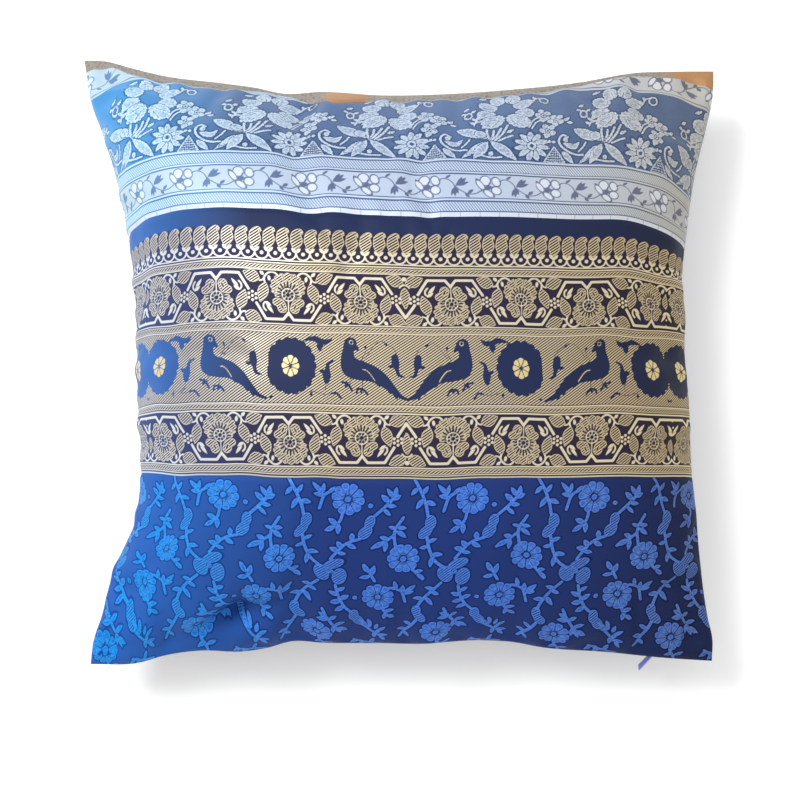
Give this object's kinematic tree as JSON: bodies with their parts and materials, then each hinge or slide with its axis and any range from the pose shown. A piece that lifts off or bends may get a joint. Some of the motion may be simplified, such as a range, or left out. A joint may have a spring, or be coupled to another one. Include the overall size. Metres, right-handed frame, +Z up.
{
  "type": "cushion cover",
  "caption": "Filled square cushion cover pieced from woven strips: tan edge, pale blue floral, navy and gold border and royal blue brocade, with a zip pull near one corner.",
  "frame": {"origin": "middle of the box's underside, on the surface that the cushion lies on", "axes": "+Z up out of the patterned face, +Y towards the tan strip's edge, +X to the right as the face is looked at"},
  "size_m": [0.397, 0.383, 0.1432],
  "materials": {
    "tan_silk": "tan woven silk with fine stitched specks",
    "silver_floral": "steel blue satin with silver floral weave",
    "gold_border": "navy cloth with gold thread bands",
    "blue_brocade": "dark navy satin with raised royal blue vines",
    "plain_navy": "plain navy satin",
    "nickel": "bright nickel plate",
    "lavender_lacquer": "smooth lavender blue lacquer"
  },
  "bodies": {
    "root": {"tan_top_strip": "tan_silk", "silver_floral_panel": "silver_floral", "gold_border_panel": "gold_border", "blue_brocade_panel": "blue_brocade", "back_panel": "plain_navy", "zip_slider": "nickel", "zip_pull_tab": "lavender_lacquer"}
  },
  "joints": []
}
